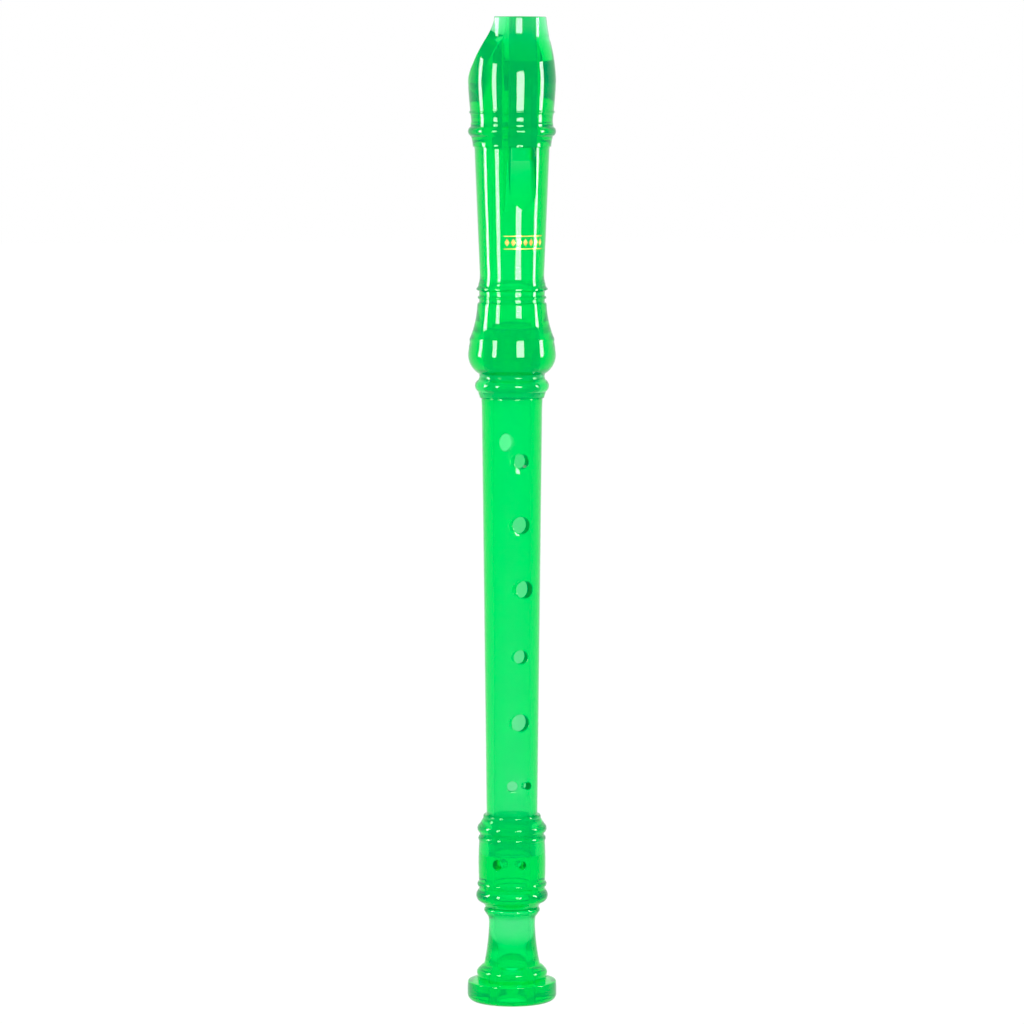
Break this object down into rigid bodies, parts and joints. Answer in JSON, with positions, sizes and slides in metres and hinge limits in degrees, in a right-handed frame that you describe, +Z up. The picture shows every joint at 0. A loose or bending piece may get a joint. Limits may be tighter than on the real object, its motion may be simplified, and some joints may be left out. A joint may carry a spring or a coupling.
{
  "type": "soprano recorder",
  "caption": "Soprano recorder in clear green plastic that pulls apart into head, middle and foot, with turned rings and a flared bell.",
  "frame": {"origin": "centre of the flat end of the bell, on the axis of the bore", "axes": "+Z up the bore from the bell to the beak, -Y towards the window and the finger holes, +X to the right of someone who faces them"},
  "size_m": [0.03, 0.03, 0.33],
  "materials": {
    "head_plastic": "gloss",
    "block_plastic": "gloss",
    "middle_plastic": "gloss",
    "foot_plastic": "gloss",
    "gold_foil": "gloss"
  },
  "bodies": {
    "middle": {"middle_joint": "middle_plastic"},
    "head": {"head_shell": "head_plastic", "block": "block_plastic"},
    "foot": {"foot_joint": "foot_plastic"}
  },
  "joints": [
    {"name": "head_pull", "type": "slide", "parent": "middle", "child": "head", "axis": [0, 0, 1], "range_m": [0, 0.0225]},
    {"name": "foot_turn", "type": "hinge", "parent": "middle", "child": "foot", "pos_m": [0, 0, 0.0567], "axis": [0, 0, 1], "continuous": true}
  ]
}
